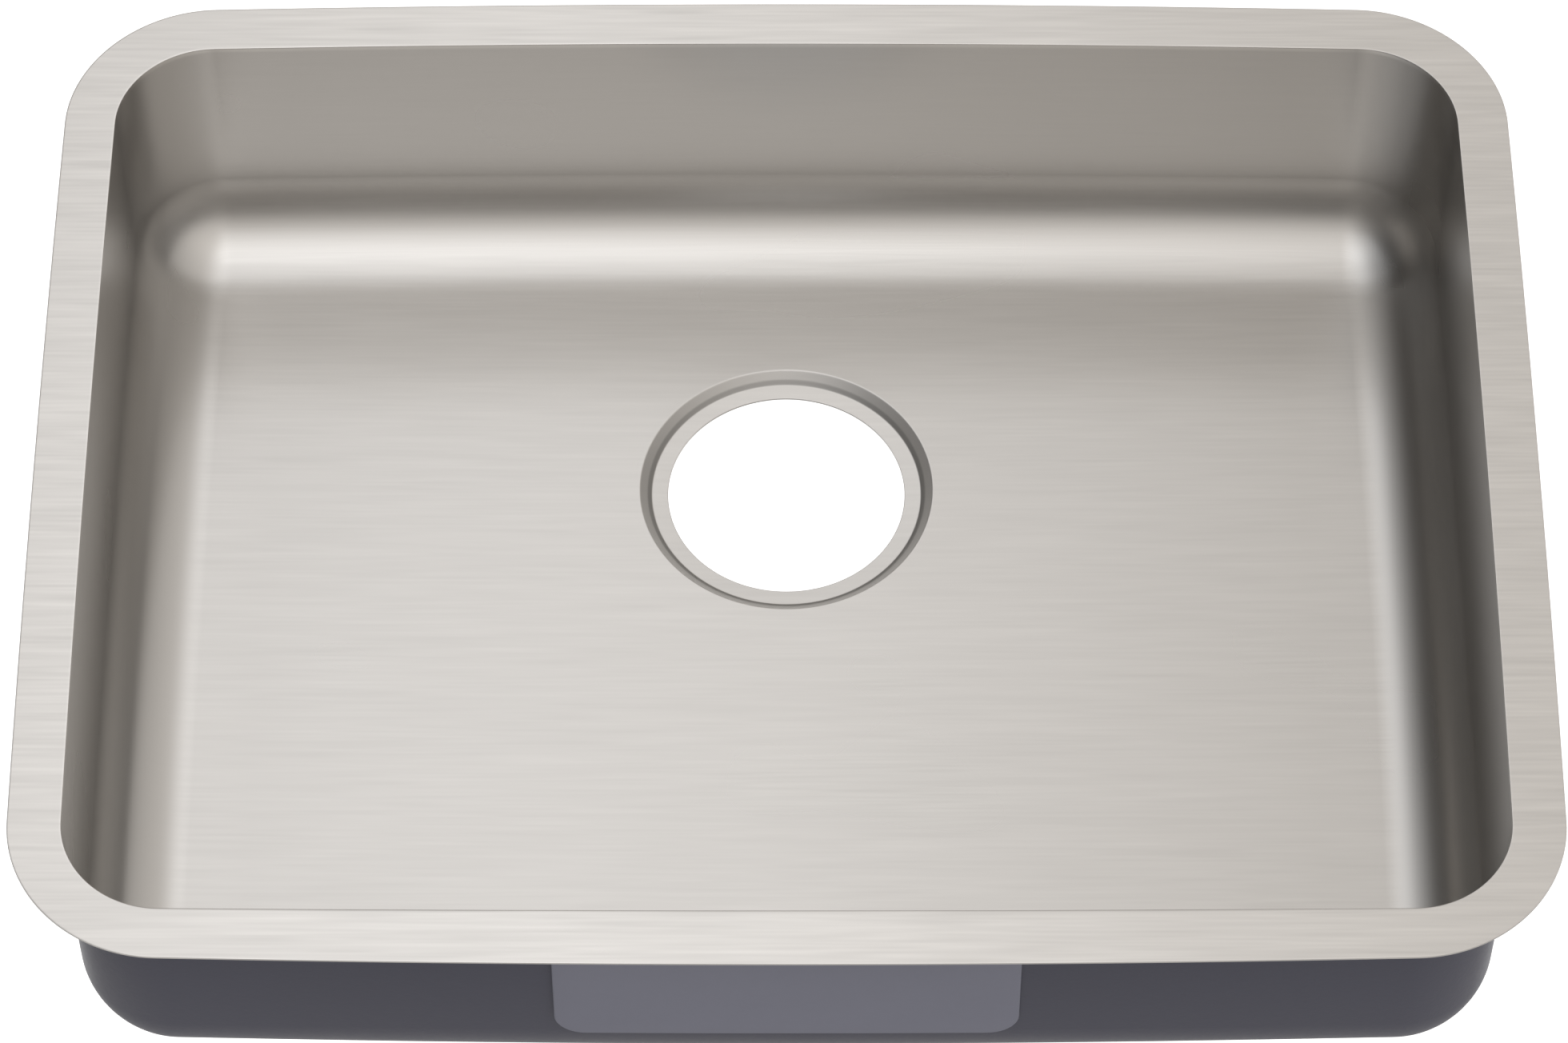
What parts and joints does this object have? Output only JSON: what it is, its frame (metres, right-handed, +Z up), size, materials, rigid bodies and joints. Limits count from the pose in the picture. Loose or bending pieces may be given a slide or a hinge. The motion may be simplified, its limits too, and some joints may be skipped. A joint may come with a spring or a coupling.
{
  "type": "undermount kitchen sink",
  "caption": "Shallow rectangular undermount sink bowl drawn from one steel sheet, with a flat bonding flange, a rear drain recess, a sprayed sound coating and rubber sound pads.",
  "frame": {"origin": "the middle of the flange's top face, level with the underside of the worktop", "axes": "+X to the right seen from the front, +Y towards the rear, where the drain is, +Z up out of the bowl"},
  "size_m": [0.584, 0.457, 0.126],
  "materials": {
    "brushed_steel": "satin, fine grain running left to right on the flange and floor",
    "sound_coating": "sprayed, matt, slightly pebbled",
    "pad_rubber": "matt sheet rubber"
  },
  "bodies": {
    "root": {"sink_bowl": "brushed_steel", "sound_coating": "sound_coating", "front_pad": "pad_rubber", "right_pad": "pad_rubber", "rear_pad": "pad_rubber", "left_pad": "pad_rubber", "base_pad_front": "pad_rubber", "base_pad_left": "pad_rubber", "base_pad_right": "pad_rubber"}
  },
  "joints": []
}
